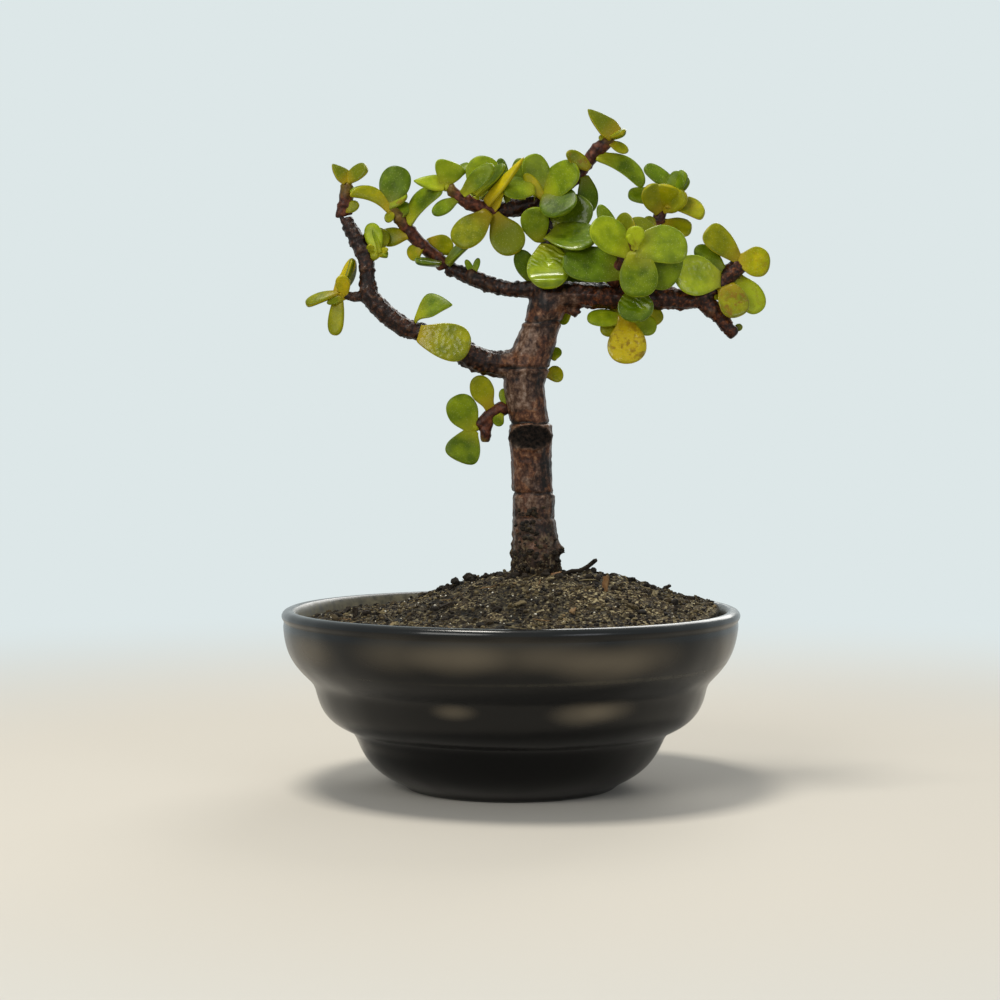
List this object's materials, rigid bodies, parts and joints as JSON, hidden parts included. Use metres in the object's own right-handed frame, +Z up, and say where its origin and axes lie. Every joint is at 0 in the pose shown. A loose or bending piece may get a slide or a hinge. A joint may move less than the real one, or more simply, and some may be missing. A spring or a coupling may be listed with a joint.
{
  "type": "potted dwarf jade bonsai",
  "caption": "Dwarf jade bonsai with an upright woody trunk, spreading branches and small fleshy leaves, planted in soil in a round, tiered, glazed bowl.",
  "frame": {"origin": "middle of the pot's flat foot, on the surface it stands on", "axes": "+Z up along the pot's axis; -Y towards the plant's front, the side it is meant to be seen from; +X to the right of someone looking at that front"},
  "size_m": [0.1168, 0.11, 0.1621],
  "materials": {
    "pot_glaze": "gloss",
    "mesh_plastic": "matte",
    "soil": "matte",
    "bark": "matte",
    "young_stem": "satin",
    "leaf_green": "satin",
    "leaf_yellow": "satin",
    "leaf_dark": "satin",
    "dry_wood": "matte"
  },
  "bodies": {
    "root": {"pot": "pot_glaze", "drainage_mesh": "mesh_plastic", "soil": "soil", "trunk": "bark", "shoot_apex": "young_stem", "shoot_crown_left": "young_stem", "shoot_far_left": "young_stem", "shoot_low_left": "young_stem", "shoot_right": "young_stem", "shoot_rosette": "young_stem", "shoot_upper_left": "young_stem", "leaf_apex_edge": "leaf_yellow", "leaf_apex_hanging": "leaf_dark", "leaf_apex_long": "leaf_green", "leaf_apex_under": "leaf_dark", "leaf_branch_front": "leaf_dark", "leaf_branch_kite": "leaf_green", "leaf_branch_rest": "leaf_dark", "leaf_branch_wet": "leaf_yellow", "leaf_centre_behind": "leaf_dark", "leaf_centre_flat": "leaf_dark", "leaf_centre_front": "leaf_yellow", "leaf_centre_round": "leaf_green", "leaf_centre_wet": "leaf_green", "leaf_crown_hanging": "leaf_yellow", "leaf_crown_olive": "leaf_yellow", "leaf_crown_side": "leaf_green", "leaf_crown_yellow": "leaf_yellow", "leaf_end_dark": "leaf_dark", "leaf_end_marked": "leaf_yellow", "leaf_end_pale": "leaf_green", "leaf_end_wet": "leaf_yellow", "leaf_low_single": "leaf_yellow", "leaf_right_arch": "leaf_yellow", "leaf_right_back": "leaf_dark", "leaf_right_yellow": "leaf_yellow", "leaf_rosette_front": "leaf_green", "leaf_rosette_left": "leaf_green", "leaf_rosette_low": "leaf_dark", "leaf_rosette_right": "leaf_green", "leaf_trunk_right": "leaf_yellow", "leaf_under_big": "leaf_yellow", "leaf_upper_left_dark": "leaf_dark", "leaf_upper_left_long": "leaf_green", "leaf_upper_left_rising": "leaf_dark", "leaf_upper_left_round": "leaf_yellow", "leaves_apex_tip": "leaf_yellow", "leaves_branch_bud": "leaf_yellow", "leaves_crown_bright": "leaf_green", "leaves_crown_left_tip": "leaf_yellow", "leaves_crown_pair": "leaf_green", "leaves_far_left_tip": "leaf_yellow", "leaves_left_spur": "leaf_yellow", "leaves_low_left_tip": "leaf_green", "leaves_right_end_tip": "leaf_yellow", "leaves_right_tip": "leaf_dark", "leaves_rosette_heart": "leaf_yellow", "leaves_under_branch": "leaf_green", "leaves_upper_left_tip": "leaf_dark", "soil_twig": "dry_wood"}
  },
  "joints": []
}
